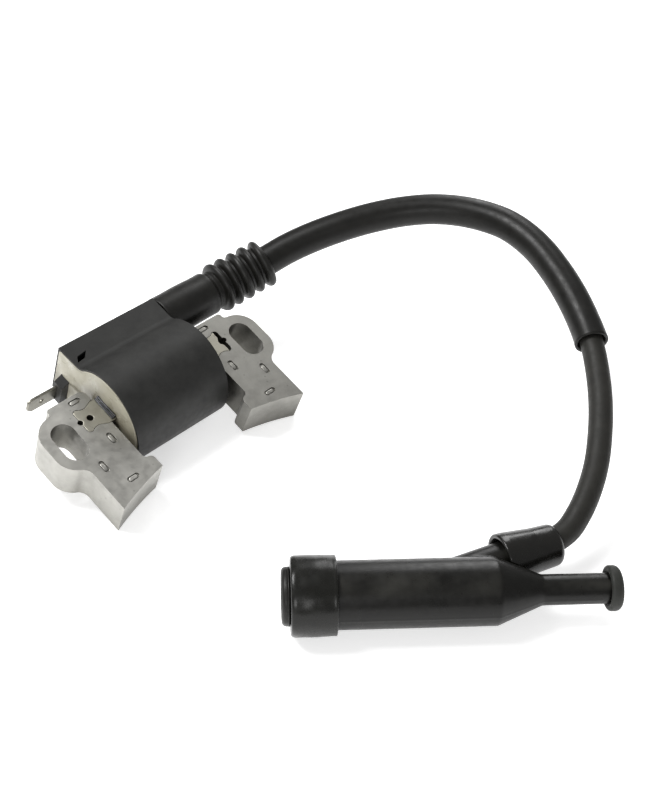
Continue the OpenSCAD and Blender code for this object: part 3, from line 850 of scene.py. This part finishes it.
def add_cap(look):
    """Tube, branch, cone and neck in one moulding, with its parting line."""
    mesh = moulded("cap_body", 0.28, 6)
    co = in_frame(CAP, coordinates(mesh))
    radius = np.hypot(co[:, 1], co[:, 2])
    collar_end, knob_start, branch_end, skin_r = 11, 71, 52, 3.2
    line_height, line_width = 0.07, 0.22
    outside = (radius > skin_r) & (co[:, 0] > collar_end) & (co[:, 0] < knob_start)
    beyond_branch = (co[:, 1] < 0) | (co[:, 0] > branch_end)
    line = line_height * np.exp(-((co[:, 2] / line_width) ** 2)) * outside * beyond_branch
    co[:, 1:] *= (1 + line / np.maximum(radius, 1))[:, None]
    set_coordinates(mesh, out_of_frame(CAP, co))
    return add_piece("cap_moulding", mesh, CAP_BODY, look, ["cap_body"])


def add_branch_boot(look):
    """The shiny boot that seals the lead in the branch."""
    mesh = moulded("branch_boot", 0.16, 4)
    return add_piece("branch_boot_moulding", mesh, CAP_BODY, look, ["branch_boot"])


def collar_outline():
    """Outside of the collar from the mouth back, with its soft bulge, then its bore."""
    front = arc(0.7, 8.5, 0.65, 180, 95, 5)
    outside = []
    for x in np.arange(1.0, 10.0, 0.4):
        outside.append((x, 9.18 + 0.14 * math.sin(math.pi * (x + 0.6) / 9.5)))
    back = arc(10.05, 8.75, 0.45, 80, -10, 5)
    bore = [(10.5, 8.0), (10.2, 7.9), (1.0, 7.9), (0.9, 6.9), (0.3, 6.85), (0.05, 7.1)]
    return front + outside + back + bore


def add_collar(look):
    """The collar, with shallow dents all over its outside."""
    mesh = turned("collar", CAP, collar_outline(), 144)
    co = in_frame(CAP, coordinates(mesh))
    for i, (x, y, z) in enumerate(co):
        r = math.hypot(y, z)
        if r > 8.2:
            dent = 0.10 * noise.noise(Vector((x * 0.35, y * 0.25, z * 0.25))) - 0.05
            co[i, 1:] *= (r + dent) / r
    set_coordinates(mesh, out_of_frame(CAP, co))
    return add_piece("collar", mesh, CAP_BODY, look, ["seal_collar"])


def add_lip_seal(look):
    """The rounded lip in front of the collar, and its ribbed sleeve inside the tube."""
    lip = arc(-0.9, 5.58, 1.1, 180, 80, 9)
    outline = lip + [
        (-0.8, 6.70), (-0.1, 6.72), (0.0, 6.25), (12.6, 6.22), (13.0, 5.9), (12.8, 5.4),
        (9.0, 5.33), (8.5, 5.45), (8.0, 5.33), (5.0, 5.33), (4.5, 5.45), (4.0, 5.33),
        (0.6, 5.34), (0.2, 5.5), (-0.4, 5.5), (-0.7, 5.36), (-1.7, 5.36),
    ]
    mesh = turned("lip_seal", CAP, outline, 128, wobble=0.04, seed=9.0)
    return add_piece("lip_seal", mesh, CAP_BODY, look, ["plug_lip_seal"])


def add_knob(look):
    """The pull knob, rounder at its far edge."""
    start, end = 72.5, 75.5
    outline = (
        arc(start + 0.8, 4.45, 0.8, 180, 95, 6)
        + arc(end - 1.35, 3.92, 1.33, 88, 0, 8)
        + [(end - 0.02, 3.0), (end - 0.12, 2.5), (end - 0.12, 0.4), (start + 1.75, 0.4)]
        + [(start + 1.75, 2.5), (start + 0.7, 2.5), (start + 0.6, 3.9), (start + 0.1, 4.0)]
    )
    mesh = turned("knob", CAP, outline, 96, wobble=0.06, seed=5.0)
    return add_piece("knob", mesh, CAP_BODY, look, ["pull_knob"])


# ---------------------------------------------------------------- all together

def add_materials():
    """Every look by its short name. Tones are linear."""
    rubber = (1.04, 1.0, 0.84)
    return {
        # Both legs are the same steel; the right leg's lower tone is painted shade.
        "steel_left": steel_look("core_steel_left", 0.38, 0.045),
        "steel_right": steel_look("core_steel_right", 0.30, 0.05),
        "bar": steel_look("bar_steel", 0.36, 0.10),
        "tin": plated_look("tinned_blade", 0.19, 0.09, 0.26, 0.42),
        "clip": plated_look("bright_clip", 0.10, -0.03, 0.28, 0.42),
        # The clip's dark bluish tone is partly its own colour and partly painted shade for the dark band along it
        # beside the bar.
        "ring": plated_look("ring_steel", 0.55, 0.0, 0.20, 0.35),
        "case": moulded_look("case_plastic", 0.017, (1.0, 1.0, 0.94), 0.44, 0.58, 0.05, hard=True),
        "holder": moulded_look("holder_plastic", 0.012, (1.0, 1.0, 0.96), 0.35, 0.5, 0.05, hard=True),
        "boot": moulded_look("boot_rubber", 0.007, rubber, 0.36, 0.50, 0.08),
        "lead": moulded_look("lead_rubber", 0.014, rubber, 0.46, 0.62, 0.06, relief=0.00002),
        "sleeve": moulded_look("sleeve_plastic", 0.006, rubber, 0.34, 0.48, 0.06, specular=0.24),
        # The cap's paler band along the tube is a painted highlight as well as dust.
        "cap": moulded_look("cap_rubber", 0.004, rubber, 0.26, 0.40, 0.20, specular=0.26,
                            highlight_and_dust_side=(-0.33, -0.30, 0.89)),
        "shiny": moulded_look("branch_boot_rubber", 0.006, rubber, 0.16, 0.30, 0.10, specular=0.4),
        "collar": moulded_look("collar_rubber", 0.006, (1.0, 1.0, 0.80), 0.22, 0.34, 0.10, specular=0.3),
        "knob": moulded_look("knob_rubber", 0.022, (0.95, 1.0, 0.86), 0.50, 0.66, 0.08),
        "resin": resin_look(),
        "wire": wire_look(),
        "bobbin": plain_look("bobbin_plastic", (0.50, 0.47, 0.38), (0.66, 0.63, 0.54), 0.35, 0.5),
        "board": plain_look("board_laminate", (0.02, 0.10, 0.04), (0.04, 0.18, 0.07), 0.25, 0.4),
        "tan": plain_look("lacquered_part", (0.25, 0.16, 0.07), (0.40, 0.28, 0.14), 0.2, 0.35),
        "brass": plain_look("contact_brass", (0.50, 0.34, 0.12), (0.72, 0.52, 0.22), 0.2, 0.38, 1.0),
    }


# CAD nodes that stay as they are, and the look each one takes.
CARRIED_OVER = {
    "potting_fill": "resin", "primary_bobbin": "bobbin", "primary_winding": "wire",
    "secondary_bobbin": "bobbin", "secondary_winding": "wire", "ignition_board": "board",
    "switch_transistor": "holder", "board_resistors": "tan", "ht_contact": "brass",
    "lead_core_end": "wire", "lead_contact": "brass", "plug_socket": "brass", "snap_ring": "ring",
}


def main():
    add_camera()
    looks = add_materials()
    lead, line = add_lead(looks["lead"])
    sleeve = add_sleeve(looks["sleeve"])
    add_studio()
    for node, look in CARRIED_OVER.items():
        NODES[node].data.materials.clear()
        NODES[node].data.materials.append(looks[look])
    bellows = add_bellows(looks["boot"])
    add_resin_face(looks["resin"])
    add_legs(looks["steel_left"], looks["steel_right"])
    add_hard_parts(looks)
    cap_pieces = [
        add_cap(looks["cap"]),
        add_branch_boot(looks["shiny"]),
        add_collar(looks["collar"]),
        add_lip_seal(looks["boot"]),
        add_knob(looks["knob"]),
    ]


main()
